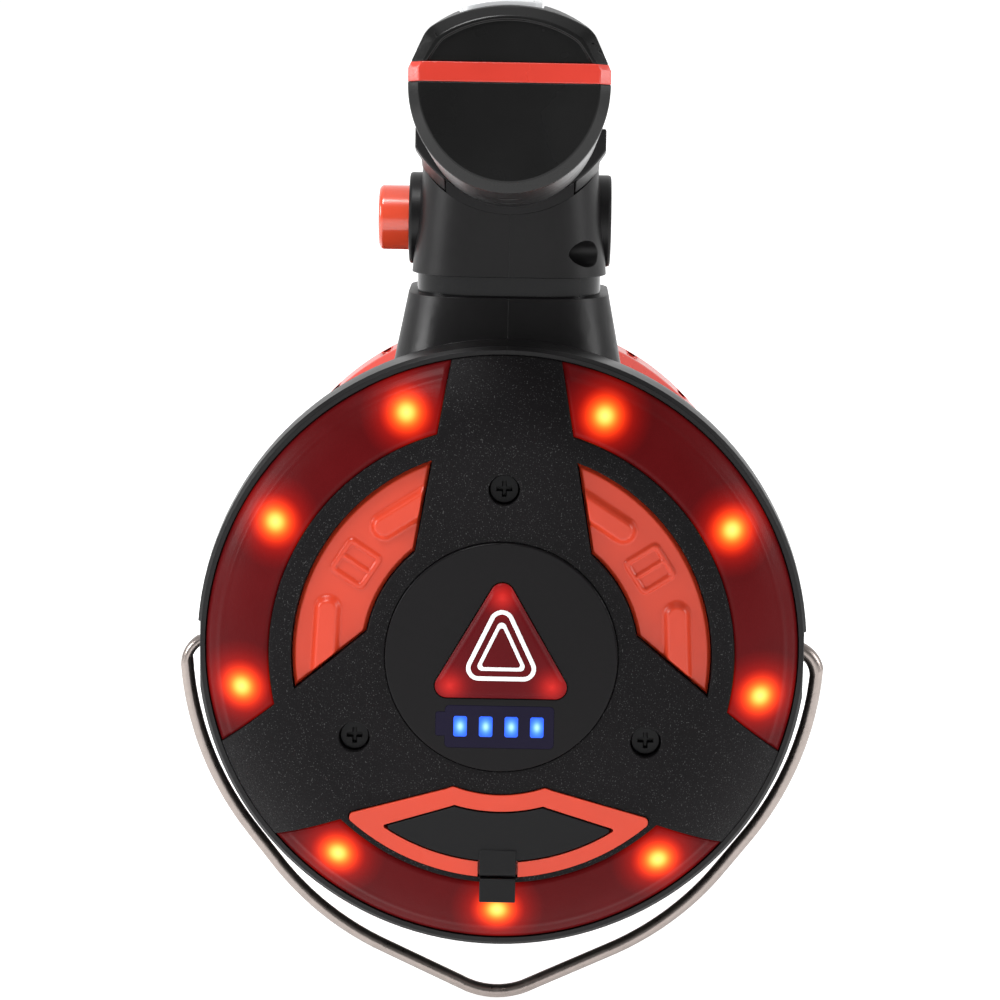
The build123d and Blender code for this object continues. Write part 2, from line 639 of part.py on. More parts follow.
def make_grip():
    """Hollow grip of lower shell, upper shell, red band, tail cap and collar."""
    length = 110.0
    tail = [Plane.XZ * grip_section(TAIL_BEVEL, CROWN_DROP),
            Plane.XZ.offset(-TAIL_BEVEL) * grip_section(0, CROWN_DROP)]
    solid = grip_bar(0, TAIL_BEVEL, length) + grip_place() * loft(tail, ruled=True)
    reach = about_pivot(CHEEK_R + 0.4, 40)
    solid -= block(-30, 30, GRIP_NOSE, 90, 60, 140) + reach
    corner = block(-30, 30, NOSE_ROUND[0], 90, NOSE_ROUND[1], 140)
    round_end = rod_x(GRIP_NOSE - NOSE_ROUND[0], -30, 30, *NOSE_ROUND)
    body = solid - (corner - round_end)
    tongue_gap = block(-12.5, 12.5, 12.2, GRIP_NOSE + 1, 80, 104)
    inner = grip_bar(SHELL, TAIL_WALL, 100) - block(-30, 30, 27.0, 90, 60, 140)
    collar_zone = block(-30, 30, COLLAR_START, GRIP_NOSE, 60, COLLAR_TOP)
    skin = body - inner
    walls = skin - collar_zone - tongue_gap - grip_slab(-40, 40, -10, TAIL_WALL)
    walls -= power_well()
    strip = grip_slab(-BAND_HALF, BAND_HALF)
    inlay = (body - grip_bar(SHELL, -1, 100)) + (body & grip_slab(-40, 40, -10, 1.2))
    band = (skin & grip_slab(-BAND_HALF, BAND_HALF, TAIL_WALL)) - tongue_gap
    band += inlay & grip_slab(-BAND_HALF, BAND_HALF, -10, TAIL_WALL)
    keep("grip_band", band)
    cap = (body & grip_slab(-40, 40, -10, TAIL_WALL)) - (inlay & strip)
    cap -= grip_bar(TAIL_BEVEL + 0.6, -1, 0.5) & grip_slab(BAND_HALF, 40)
    keep("tail_cap", cap)
    lower = walls & grip_slab(-40, -BAND_HALF)
    upper = walls & grip_slab(BAND_HALF, 40)
    screws = []
    for along in GRIP_SCREWS:
        post = grip_rod(3.2, along, -GRIP_BOTTOM + 1.2, GRIP_TOP - 1.2)
        lower += post & grip_slab(-GRIP_BOTTOM + 1.2, -BAND_HALF)
        lower -= grip_rod(2.6, along, -GRIP_BOTTOM - 1, -GRIP_BOTTOM + 3.2)
        lower -= grip_rod(1.4, along, -GRIP_BOTTOM, 3.0)
        upper += post & grip_slab(BAND_HALF, GRIP_TOP)
        upper -= grip_rod(1.4, along, -GRIP_BOTTOM, 5.0)
        screw = grip_rod(2.45, along, -GRIP_BOTTOM + 1.6, -GRIP_BOTTOM + 3.2)
        screw += grip_rod(1.38, along, -GRIP_BOTTOM + 3.2, 2.8)
        screws.append(screw)
    keep("grip_lower", lower)
    keep("grip_upper", upper)
    keep("grip_screws", Compound(children=screws))

    ramp_end = NECK_DEPTH[0] - 2.0
    trough = [Plane.XZ.offset(-REAR - depth) * Pos(0, SADDLE_Z + SADDLE_R + rise) * Circle(SADDLE_R - 0.5)
              for depth, rise in ((COLLAR_START, LIP_RISE), (ramp_end, 0.0))]
    under = loft(trough, ruled=True) + (saddle(-0.5) & block(-30, 30, ramp_end, 90, 60, 140))
    collar = block(-LIP_HALF_W, LIP_HALF_W, COLLAR_START, LIP_END, 80, COLLAR_TOP)
    collar += block(-COLLAR_HALF_W, COLLAR_HALF_W, COLLAR_START, GRIP_NOSE, 80, COLLAR_TOP)
    collar &= under
    collar -= reach + tongue_gap + grip_bar(SHELL, TAIL_WALL, 100)
    keep("grip_collar", collar)

    ramp = Polygon((COLLAR_START, 80), (COLLAR_START, 86.9), (ramp_end, SADDLE_Z + 0.5),
                   (ramp_end, 80), align=None)
    ramp = extrude(Plane.YZ.offset(-30) * Pos(REAR, 0) * ramp, 60)
    hub = about_pivot(HUB_CORE_R, CHEEK_IN - RUN)
    tongue = block(-12.3, 12.3, 14.0, GRIP_NOSE - 0.3, 80, 103.5) & saddle(-0.7)
    hub += tongue - ramp
    hub -= about_pivot(4.52, 30)
    keep("grip_hub", hub)


def grip_rod(radius, along, low, high):
    """A round solid across the grip, between two heights of its own frame."""
    return grip_place() * Pos(0, along, (low + high) / 2) * Cylinder(radius, high - low)


def power_well():
    """The hole in the upper shell for the power button."""
    face = Pos(POWER_X, sum(POWER_SPAN) / 2) * RectangleRounded(
        POWER_W + 2 * RUN, POWER_SPAN[1] - POWER_SPAN[0] + 2 * RUN, 2.8)
    return grip_place() * Pos(0, 0, 6.0) * extrude(face, 12)


def make_power():
    """Power button in the top of the grip, with its switch and lead."""
    face = Pos(POWER_X, sum(POWER_SPAN) / 2) * RectangleRounded(
        POWER_W, POWER_SPAN[1] - POWER_SPAN[0], 2.5)
    cap = grip_place() * Pos(0, 0, 7.6) * extrude(face, 10)
    cap &= grip_bar(-POWER_PROUD, -5, 60)
    stem = grip_rod(1.8, sum(POWER_SPAN) / 2, 6.2, 7.6)
    keep("power_button", cap + stem)
    centre = grip_place() * Pos(0, sum(POWER_SPAN) / 2, 3.2)
    board = centre * Box(14.0, BOARD_LENGTH, 1.4)
    board += centre * Pos(0, 0, 1.2) * Box(6.2, 6.2, 1.0)
    keep("power_switch", board)
    lead_start = sum(POWER_SPAN) / 2 + BOARD_LENGTH / 2 + 0.05
    leads = []
    for side in (-1, 1):
        lead = grip_place() * Pos(6.0 * side, (lead_start + LEAD_END) / 2, 3.2) * Rot(90, 0, 0)
        lead *= Cylinder(0.7, LEAD_END - lead_start)
        leads.append(lead)
    keep("switch_leads", Compound(children=leads))


make_rear_cover()
make_cover_screws()
make_beacon()
make_pads()
make_centre()
make_ports()
make_housing()
make_bail()
make_front()
make_inside()
make_neck()
make_pivot()
make_grip()
make_power()

os.makedirs("parts", exist_ok=True)
for node_name, shape in nodes.items():
    export_step(shape, "parts/" + node_name + ".step")
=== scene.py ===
import math

import bmesh
import bpy
import mathutils
import numpy as np
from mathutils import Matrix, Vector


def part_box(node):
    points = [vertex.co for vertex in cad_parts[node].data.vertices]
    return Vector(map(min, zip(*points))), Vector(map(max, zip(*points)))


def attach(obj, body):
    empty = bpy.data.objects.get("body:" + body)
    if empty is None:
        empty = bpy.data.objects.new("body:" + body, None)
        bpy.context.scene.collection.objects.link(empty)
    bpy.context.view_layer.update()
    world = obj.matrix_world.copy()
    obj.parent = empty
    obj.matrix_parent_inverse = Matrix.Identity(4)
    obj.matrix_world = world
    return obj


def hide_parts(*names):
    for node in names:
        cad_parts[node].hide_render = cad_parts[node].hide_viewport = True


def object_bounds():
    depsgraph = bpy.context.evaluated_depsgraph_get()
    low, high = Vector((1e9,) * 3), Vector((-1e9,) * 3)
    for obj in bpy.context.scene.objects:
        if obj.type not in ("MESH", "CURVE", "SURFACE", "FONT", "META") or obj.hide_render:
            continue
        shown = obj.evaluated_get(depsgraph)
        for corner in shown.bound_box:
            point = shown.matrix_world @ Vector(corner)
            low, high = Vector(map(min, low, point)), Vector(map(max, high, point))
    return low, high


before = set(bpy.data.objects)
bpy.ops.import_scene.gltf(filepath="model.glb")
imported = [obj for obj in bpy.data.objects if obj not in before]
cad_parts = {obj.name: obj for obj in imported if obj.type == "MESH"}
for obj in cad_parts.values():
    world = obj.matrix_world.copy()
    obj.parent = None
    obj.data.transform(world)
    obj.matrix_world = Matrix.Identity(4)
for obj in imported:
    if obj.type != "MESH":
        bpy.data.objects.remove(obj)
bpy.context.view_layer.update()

MM = 0.001


# ---------------------------------------------------------------- head housing
# Two satin black mouldings, parted on the centre line, screwed together round the lamp.
# The rear is a ball inside which the bail can swing; the foot of the neck is part of them.
def moulded(name, colour, rough, grain, relief, vary=0.3, coat=0.0, spark=False):
    """Moulded plastic or rubber: a fine grain pressed into it, with colour and gloss that drift over the
    surface. With spark, the gloss follows the grain, so single facets glint."""
    finish = bpy.data.materials.new(name)
    finish.use_nodes = True
    tree = finish.node_tree
    shader = tree.nodes["Principled BSDF"]
    place = tree.nodes.new("ShaderNodeTexCoord")
    drift = tree.nodes.new("ShaderNodeTexNoise")
    drift.inputs["Scale"].default_value = 55.0
    drift.inputs["Detail"].default_value = 4.0
    tree.links.new(place.outputs["Object"], drift.inputs["Vector"])
    tint = tree.nodes.new("ShaderNodeMix")
    tint.data_type = "RGBA"
    tint.inputs["A"].default_value = [c * (1.0 - vary) for c in colour] + [1.0]
    tint.inputs["B"].default_value = [c * (1.0 + vary) for c in colour] + [1.0]
    tree.links.new(drift.outputs["Fac"], tint.inputs["Factor"])
    tree.links.new(tint.outputs["Result"], shader.inputs["Base Color"])
    speckle = tree.nodes.new("ShaderNodeTexNoise")
    speckle.inputs["Scale"].default_value = 1.0 / grain
    speckle.inputs["Detail"].default_value = 3.0
    speckle.inputs["Roughness"].default_value = 0.6
    tree.links.new(place.outputs["Object"], speckle.inputs["Vector"])
    gloss = tree.nodes.new("ShaderNodeMapRange")
    gloss.inputs["From Min"].default_value = 0.3
    gloss.inputs["From Max"].default_value = 0.7
    gloss.inputs["To Min"].default_value = rough * (0.5 if spark else 0.82)
    gloss.inputs["To Max"].default_value = min(1.0, rough * (1.5 if spark else 1.18))
    tree.links.new((speckle if spark else drift).outputs["Fac"], gloss.inputs["Value"])
    tree.links.new(gloss.outputs["Result"], shader.inputs["Roughness"])
    bump = tree.nodes.new("ShaderNodeBump")
    bump.inputs["Distance"].default_value = relief
    bump.inputs["Strength"].default_value = 1.0
    tree.links.new(speckle.outputs["Fac"], bump.inputs["Height"])
    tree.links.new(bump.outputs["Normal"], shader.inputs["Normal"])
    shader.inputs["Coat Weight"].default_value = coat
    shader.inputs["Coat Roughness"].default_value = 0.12
    return finish


def smooth_by_angle(mesh, degrees):
    """Smooth shading, with the edges sharper than an angle kept as edges."""
    mesh.polygons.foreach_set("use_smooth", np.ones(len(mesh.polygons), bool))
    mesh.set_sharp_from_angle(angle=math.radians(degrees))


def rolled(node, body, finish, edge=0.25 * MM, corner=35.0):
    """A moulded copy of a CAD piece whose sharp edges are rolled over; it stands for that piece."""
    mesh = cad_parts[node].data.copy()
    mesh.name = node + "_moulding"
    mesh.materials.clear()
    bm = bmesh.new()
    bm.from_mesh(mesh)
    bmesh.ops.remove_doubles(bm, verts=bm.verts, dist=0.002 * MM)
    bmesh.ops.dissolve_degenerate(bm, edges=bm.edges, dist=0.004 * MM)
    bmesh.ops.dissolve_limit(bm, angle_limit=math.radians(0.4), verts=bm.verts, edges=bm.edges)
    bm.to_mesh(mesh)
    bm.free()
    if mesh.attributes.get("custom_normal"):
        mesh.attributes.remove(mesh.attributes["custom_normal"])
    smooth_by_angle(mesh, corner)
    piece = bpy.data.objects.new(node + "_moulding", mesh)
    bpy.context.scene.collection.objects.link(piece)
    mesh.materials.append(finish)
    roll = piece.modifiers.new("rolled_edges", "BEVEL")
    roll.width = edge
    roll.segments = 2
    roll.limit_method = "ANGLE"
    roll.angle_limit = math.radians(corner)
    roll.use_clamp_overlap = False
    even = piece.modifiers.new("even_shading", "WEIGHTED_NORMAL")
    even.weight = 80
    even.keep_sharp = True
    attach(piece, body)
    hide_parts(node)
    return piece


shell_black = moulded("satin_black_shell", (0.007, 0.0066, 0.007), 0.36, 0.35 * MM, 0.012 * MM)
shell_black.node_tree.nodes["Principled BSDF"].inputs["Specular IOR Level"].default_value = 0.20
for half in ("housing_left", "housing_right"):
    rolled(half, "head", shell_black, edge=0.07 * MM)


# ------------------------------------------------------------------ kept nodes
# Inner pieces and small fittings keep their machined shape and take the finish of their slot.
def finished(node, finish):
    """A CAD piece that keeps its own mesh, with a finish in place of its plain colour."""
    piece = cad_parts[node]
    piece.data.materials.clear()
    piece.data.materials.append(finish)
    return piece


def metal(name, colour, rough, stretch, relief=0.004 * MM):
    """Drawn or machined metal: fine lines along one direction that change its gloss and surface."""
    finish = bpy.data.materials.new(name)
    finish.use_nodes = True
    tree = finish.node_tree
    shader = tree.nodes["Principled BSDF"]
    shader.inputs["Metallic"].default_value = 1.0
    place = tree.nodes.new("ShaderNodeTexCoord")
    along = tree.nodes.new("ShaderNodeMapping")
    along.inputs["Scale"].default_value = stretch
    tree.links.new(place.outputs["Object"], along.inputs["Vector"])
    lines = tree.nodes.new("ShaderNodeTexNoise")
    lines.inputs["Scale"].default_value = 1.0
    lines.inputs["Detail"].default_value = 4.0
    tree.links.new(along.outputs["Vector"], lines.inputs["Vector"])
    tint = tree.nodes.new("ShaderNodeMix")
    tint.data_type = "RGBA"
    tint.inputs["A"].default_value = [c * 0.78 for c in colour] + [1.0]
    tint.inputs["B"].default_value = [min(1.0, c * 1.12) for c in colour] + [1.0]
    tree.links.new(lines.outputs["Fac"], tint.inputs["Factor"])
    tree.links.new(tint.outputs["Result"], shader.inputs["Base Color"])
    gloss = tree.nodes.new("ShaderNodeMapRange")
    gloss.inputs["To Min"].default_value = rough * 0.7
    gloss.inputs["To Max"].default_value = rough * 1.3
    tree.links.new(lines.outputs["Fac"], gloss.inputs["Value"])
    tree.links.new(gloss.outputs["Result"], shader.inputs["Roughness"])
    bump = tree.nodes.new("ShaderNodeBump")
    bump.inputs["Distance"].default_value = relief
    tree.links.new(lines.outputs["Fac"], bump.inputs["Height"])
    tree.links.new(bump.outputs["Normal"], shader.inputs["Normal"])
    return finish


bright_steel = metal("bright_steel", (0.60, 0.59, 0.58), 0.25, (900, 900, 900))
machined_alloy = metal("machined_alloy", (0.72, 0.73, 0.74), 0.32, (500, 500, 4000))
enamelled_wire = metal("enamelled_wire", (0.72, 0.34, 0.16), 0.30, (3000, 3000, 3000))
chromed_cup = metal("chromed_cup", (0.90, 0.90, 0.91), 0.05, (80, 80, 80), 0.001 * MM)
solder_mask = moulded("solder_mask", (0.015, 0.11, 0.045), 0.30, 0.8 * MM, 0.010 * MM)
nylon = moulded("nylon", (0.55, 0.53, 0.47), 0.45, 0.5 * MM, 0.010 * MM)
cell_wrap = moulded("cell_wrap", (0.04, 0.16, 0.36), 0.22, 0.9 * MM, 0.006 * MM)
soft_black = moulded("soft_black_rubber", (0.008, 0.008, 0.0085), 0.50, 0.30 * MM, 0.014 * MM)
soft_black.node_tree.nodes["Principled BSDF"].inputs["Specular IOR Level"].default_value = 0.12
black_steel = moulded("blackened_steel", (0.005, 0.005, 0.0055), 0.30, 0.30 * MM, 0.008 * MM)
black_steel.node_tree.nodes["Principled BSDF"].inputs["Specular IOR Level"].default_value = 0.12
for node, finish in (
        ("battery_cells", cell_wrap), ("battery_holder", shell_black), ("driver_board", solder_mask),
        ("driver_coil", enamelled_wire), ("heat_sink", machined_alloy), ("lamp_sleeve", shell_black),
        ("beacon_board", solder_mask), ("rear_board", solder_mask), ("warning_switch", nylon),
        ("power_switch", solder_mask), ("switch_leads", enamelled_wire), ("pivot_sleeve", bright_steel),
        ("lock_spring", bright_steel), ("bail_bushes", nylon), ("usb_a_socket", bright_steel),
        ("micro_usb_socket", bright_steel), ("port_panel", shell_black), ("lens_gasket", soft_black),
        ("reflector", chromed_cup), ("grip_hub", shell_black), ("grip_screws", black_steel)):
    finished(node, finish)


# ------------------------------------------------------------ bezel and window
# Red screwed bezel with finger flutes, over a clear window; the lamp's yellow die sits in the cup.
red_shell = moulded("red_bezel", (0.52, 0.035, 0.020), 0.30, 0.40 * MM, 0.006 * MM, vary=0.15, coat=0.3)
rolled("front_bezel", "head", red_shell, edge=0.35 * MM, corner=28.0)

window_clear = bpy.data.materials.new("window_clear")
window_clear.use_nodes = True
clear_shader = window_clear.node_tree.nodes["Principled BSDF"]
clear_shader.inputs["Base Color"].default_value = (0.96, 0.98, 0.98, 1.0)
clear_shader.inputs["Transmission Weight"].default_value = 1.0
clear_shader.inputs["IOR"].default_value = 1.49
smudge = window_clear.node_tree.nodes.new("ShaderNodeTexNoise")
smudge.inputs["Scale"].default_value = 40.0
smudge_range = window_clear.node_tree.nodes.new("ShaderNodeMapRange")
smudge_range.inputs["To Min"].default_value = 0.01
smudge_range.inputs["To Max"].default_value = 0.06
smudge_place = window_clear.node_tree.nodes.new("ShaderNodeTexCoord")
window_clear.node_tree.links.new(smudge_place.outputs["Object"], smudge.inputs["Vector"])
window_clear.node_tree.links.new(smudge.outputs["Fac"], smudge_range.inputs["Value"])
window_clear.node_tree.links.new(smudge_range.outputs["Result"], clear_shader.inputs["Roughness"])
finished("front_lens", window_clear)


def lit(name, colour, glow, strength):
    """A lamp body: tinted, slightly glossy, with its own even light."""
    finish = moulded(name, colour, 0.25, 0.5 * MM, 0.004 * MM)
    shader = finish.node_tree.nodes["Principled BSDF"]
    shader.inputs["Emission Color"].default_value = (*glow, 1.0)
    shader.inputs["Emission Strength"].default_value = strength
    return finish


finished("main_led", lit("lamp_die", (0.85, 0.62, 0.12), (1.0, 0.8, 0.3), 0.15))
finished("beacon_leds", lit("beacon_die", (1.0, 0.35, 0.05), (1.0, 0.35, 0.08), 4.0))
finished("level_leds", lit("level_die", (0.2, 0.45, 1.0), (0.15, 0.45, 1.0), 2.0))


# -------------------------------------------------------------- rear cover
# Three-armed cover in black plastic with a spark-eroded grain, held by three recessed cross-head
# screws. Light grey specks mixed into its base colour are painted glints of the grain.
spark_grain = moulded("spark_grain_black", (0.0055, 0.005, 0.0055), 0.50, 0.30 * MM, 0.10 * MM, spark=True)
cover_tree = spark_grain.node_tree
# Fine noise picks out specks of painted glint, which are mixed lighter into the base colour.
facets = cover_tree.nodes.new("ShaderNodeTexNoise")
facets.inputs["Scale"].default_value = 1.0 / (0.26 * MM)
facets.inputs["Detail"].default_value = 1.0
facet_place = cover_tree.nodes.new("ShaderNodeTexCoord")
cover_tree.links.new(facet_place.outputs["Object"], facets.inputs["Vector"])
glint = cover_tree.nodes.new("ShaderNodeMapRange")
glint.inputs["From Min"].default_value = 0.64
glint.inputs["From Max"].default_value = 0.74
glint.inputs["To Min"].default_value = 0.0
glint.inputs["To Max"].default_value = 0.8
cover_tree.links.new(facets.outputs["Fac"], glint.inputs["Value"])
painted_glint_mix = cover_tree.nodes.new("ShaderNodeMix")
painted_glint_mix.data_type = "RGBA"
painted_glint_mix.inputs["B"].default_value = (0.065, 0.065, 0.065, 1.0)
cover_shader = cover_tree.nodes["Principled BSDF"]
cover_shader.inputs["Specular IOR Level"].default_value = 0.08
cover_tree.links.new(cover_shader.inputs["Base Color"].links[0].from_socket, painted_glint_mix.inputs["A"])
cover_tree.links.new(glint.outputs["Result"], painted_glint_mix.inputs["Factor"])
cover_tree.links.new(painted_glint_mix.outputs["Result"], cover_shader.inputs["Base Color"])
rolled("rear_cover", "head", spark_grain, edge=0.22 * MM)
rolled("cover_screws", "head", black_steel, edge=0.12 * MM, corner=40.0)

# Where the cover's three arms leave room: sizes shared by the lenses and the inlays.
hub_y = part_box("port_frame")[0].y + 0.4 * MM
LENS_R = (44.9 * MM, 57.5 * MM)
INLAY_R = (26.45 * MM, 40.35 * MM)
FLAT_R = 40.0 * MM
DOME_DROP = 7.0 * MM
ARM_TAPER = 7.6 / 44.0
ARM_REACH = 10.0 * MM + 60.0 * MM * ARM_TAPER


def arm_turn(radius, gap):
    """Angle from an arm's middle to its side, at a radius: where a line of the arm's taper meets
    that circle."""
    a = ARM_REACH + gap
    b = ARM_TAPER
    y = (a * b + np.sqrt((a * b) ** 2 - (1 + b * b) * (a * a - radius ** 2))) / (1 + b * b)
    return np.arctan2(a - b * y, y)


def dome_depth(radius):
    """How far the cover's face falls away forward: flat inside FLAT_R, then the arc of one large circle."""
    span = 57.6 * MM - FLAT_R
    bend = (span ** 2 + DOME_DROP ** 2) / (2 * DOME_DROP)
    out = np.clip(radius - FLAT_R, 0, None)
    return bend - np.sqrt(bend ** 2 - out ** 2)


def third(centre, inner, outer, rows, columns, gap):
    """Grid between two arms: rows run outwards, columns turn from one arm's side to the other's.
    Gives radius, angle and distance to the nearest edge."""
    radius = np.linspace(inner, outer, rows)[:, None] * np.ones((1, columns))
    first = math.radians(centre - 60) + arm_turn(radius, gap)
    last = math.radians(centre + 60) - arm_turn(radius, gap)
    share = np.linspace(0, 1, columns)[None, :]
    angle = first + (last - first) * share
    sides = np.minimum(angle - first, last - angle) * radius
    ends = np.minimum(radius - inner, outer - radius)
    return radius, angle, np.minimum(sides, ends)


def sheet_mesh(name, points, thickness, finish, attribute=None):
    """A grid of points made into quads facing -Y, then given its thickness forward."""
    rows, columns = points.shape[:2]
    index = np.arange(rows * columns).reshape(rows, columns)
    quads = np.stack([index[:-1, :-1], index[:-1, 1:], index[1:, 1:], index[1:, :-1]], -1).reshape(-1, 4)
    mesh = bpy.data.meshes.new(name)
    mesh.from_pydata(points.reshape(-1, 3).tolist(), [], quads.tolist())
    if attribute is not None:
        layer = mesh.attributes.new("lamp", "FLOAT", "POINT")
        layer.data.foreach_set("value", attribute.reshape(-1).astype(np.float32))
    bm = bmesh.new()
    bm.from_mesh(mesh)
    bmesh.ops.remove_doubles(bm, verts=bm.verts, dist=0.001 * MM)
    bmesh.ops.recalc_face_normals(bm, faces=bm.faces)
    if sum(face.normal.y * face.calc_area() for face in bm.faces) > 0:
        bmesh.ops.reverse_faces(bm, faces=bm.faces)
    bm.to_mesh(mesh)
    bm.free()
    smooth_by_angle(mesh, 50)
    mesh.materials.append(finish)
    piece = bpy.data.objects.new(name, mesh)
    bpy.context.scene.collection.objects.link(piece)
    wall = piece.modifiers.new("wall", "SOLIDIFY")
    wall.thickness = thickness
    wall.offset = -1.0
    return piece


def step(value, low, high):
    """Smooth step from 0 at low to 1 at high."""
    t = np.clip((value - low) / (high - low), 0, 1)
    return t * t * (3 - 2 * t)


# ------------------------------------------------------------- beacon lenses
# Three dark red translucent covers. Their edges are bevelled, and the lamps behind them shine through
# as a yellow core in a red halo.
LED_R = 50.6 * MM
LED_TURNS = (-38.0, 0.0, 38.0)


def glow_finish(name, dark, light, stops, strength):
    """Translucent plastic with its light painted on as emission. The attribute lamp is the distance to the
    nearest glowing spot, in centimetres; a ramp turns it into the colour of the light that comes through.
    Behind the lenses and bars the spots are lamps; on the warning triangle they are painted glow with no
    lamp."""
    finish = moulded(name, dark, 0.36, 0.35 * MM, 0.030 * MM, vary=0.45)
    tree = finish.node_tree
    shader = tree.nodes["Principled BSDF"]
    far = tree.nodes.new("ShaderNodeAttribute")
    far.attribute_name = "lamp"
    ramp = tree.nodes.new("ShaderNodeValToRGB")
    ramp.color_ramp.interpolation = "B_SPLINE"
    ramp.color_ramp.elements[0].position = 0.0
    ramp.color_ramp.elements[0].color = (*light, 1.0)
    ramp.color_ramp.elements[1].position = 1.0
    ramp.color_ramp.elements[1].color = (*stops[-1][1], 1.0)
    for place, colour in stops:
        ramp.color_ramp.elements.new(place).color = (*colour, 1.0)
    tree.links.new(far.outputs["Fac"], ramp.inputs["Fac"])
    tree.links.new(ramp.outputs["Color"], shader.inputs["Emission Color"])
    shader.inputs["Emission Strength"].default_value = strength
    shader.inputs["Specular IOR Level"].default_value = 0.06
    return finish


lens_red = glow_finish(
    "beacon_lens_red", (0.050, 0.002, 0.003), (1.0, 0.80, 0.20),
    ((0.11, (1.0, 0.62, 0.08)), (0.20, (1.0, 0.20, 0.015)), (0.30, (0.95, 0.055, 0.006)),
     (0.41, (0.48, 0.011, 0.002)), (0.55, (0.15, 0.002, 0.001)), (0.85, (0.030, 0.001, 0.001))), 1.5)
for side, centre in (("left", 150.0), ("right", 30.0), ("bottom", 270.0)):
    radius, angle, edge = third(centre, LENS_R[0], LENS_R[1], 34, 230, 0.1 * MM)
    lamps = np.radians([centre + turn for turn in LED_TURNS])
    across = radius[..., None] * np.cos(angle)[..., None] - LED_R * np.cos(lamps)
    up = radius[..., None] * np.sin(angle)[..., None] - LED_R * np.sin(lamps)
    far = np.sqrt(across ** 2 + up ** 2).min(-1)
    from_rim = LENS_R[1] - radius
    drop = 0.55 * MM * (1 - step(edge, 0.0, 0.9 * MM))
    drop += 0.30 * MM * (1 - step(from_rim, 2.2 * MM, 2.8 * MM))
    drop -= 0.10 * MM * np.exp(-((from_rim - 2.9 * MM) / (0.35 * MM)) ** 2)
    depth = dome_depth(radius) + drop
    points = np.stack([radius * np.cos(angle), hub_y + depth, radius * np.sin(angle)], -1)
    lens = sheet_mesh("beacon_cover_" + side, points, 1.6 * MM, lens_red, far * 100)
    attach(lens, "head")
    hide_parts("beacon_lens_" + side)


# --------------------------------------------------------------- rubber inlays
# Soft orange-red rubber in the two upper windows of the cover, with raised grip bars and a plain
# raised tile. Bars: middle (mm), lean (degrees), half length (mm).
GRIP_BARS = (((17.6, 28.4), 147.0, 9.2), ((34.0, 0.4), 93.0, 11.2))
BAR_WIDE = 2.9 * MM
BAR_SOFT = 1.5 * MM
BAR_RISE = 1.25 * MM
TILE_AT = (28.2, 17.6)
TILE_LEAN = 33.0
TILE_RISE = 0.45 * MM
orange_soft = moulded("orange_rubber", (0.52, 0.040, 0.014), 0.34, 0.5 * MM, 0.012 * MM, vary=0.14)
orange_soft.node_tree.nodes["Principled BSDF"].inputs["Specular IOR Level"].default_value = 0.35


def bar_height(across, up, centre, heading, half_long, half_wide, soft):
    """A raised bar with round ends: full height inside it, falling to nothing over a soft margin."""
    dx = across - centre[0]
    dz = up - centre[1]
    along = dx * math.cos(heading) + dz * math.sin(heading)
    aside = -dx * math.sin(heading) + dz * math.cos(heading)
    beyond = np.clip(np.abs(along) - (half_long - half_wide), 0, None)
    return 1 - step(np.hypot(beyond, aside), half_wide - soft, half_wide)


def tile_height(across, up, centre, heading, half, corner):
    """A raised square with round corners, turned by a heading: full height inside, nothing outside."""
    dx = across - centre[0]
    dz = up - centre[1]
    along = np.abs(dx * math.cos(heading) + dz * math.sin(heading)) - (half - corner)
    aside = np.abs(-dx * math.sin(heading) + dz * math.cos(heading)) - (half - corner)
    beyond = np.hypot(np.clip(along, 0, None), np.clip(aside, 0, None))
    beyond += np.minimum(np.maximum(along, aside), 0)
    return 1 - step(beyond, corner - 0.4 * MM, corner)


for side, centre in (("left", 150.0), ("right", 30.0)):
    radius, angle, edge = third(centre, INLAY_R[0], INLAY_R[1], 74, 190, 0.15 * MM)
    across = radius * np.cos(angle)
    up = radius * np.sin(angle)
    face = 1.20 * MM + 0.7 * MM * (1 - step(edge, 0.0, 0.8 * MM))
    mirror = -1.0 if side == "left" else 1.0
    for middle, lean, half_long in GRIP_BARS:
        spot = (mirror * middle[0] * MM, middle[1] * MM)
        heading = math.radians(lean if mirror > 0 else 180.0 - lean)
        bar = bar_height(across, up, spot, heading, half_long * MM, BAR_WIDE, BAR_SOFT)
        face -= BAR_RISE * bar * step(edge, 0.1 * MM, 0.9 * MM)
    spot = (mirror * TILE_AT[0] * MM, TILE_AT[1] * MM)
    heading = math.radians(TILE_LEAN if mirror > 0 else 180.0 - TILE_LEAN)
    tile = tile_height(across, up, spot, heading, 4.0 * MM, 1.3 * MM)
    tile -= tile_height(across, up, spot, heading, 3.1 * MM, 0.8 * MM)
    tile += bar_height(across, up, spot, heading, 3.2 * MM, 0.55 * MM, 0.4 * MM)
    face -= TILE_RISE * tile
    points = np.stack([across, hub_y + face, up], -1)
    inlay = sheet_mesh("inlay_" + side, points, 1.8 * MM, orange_soft)
    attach(inlay, "head")
    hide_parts("pad_" + side)


# ------------------------------------------------------------- centre panel
# Smooth round panel that carries the red warning button and the charge window.
panel_black = moulded("panel_black", (0.006, 0.0055, 0.006), 0.34, 0.30 * MM, 0.010 * MM)
panel_black.node_tree.nodes["Principled BSDF"].inputs["Specular IOR Level"].default_value = 0.10
finished("centre_panel", panel_black)


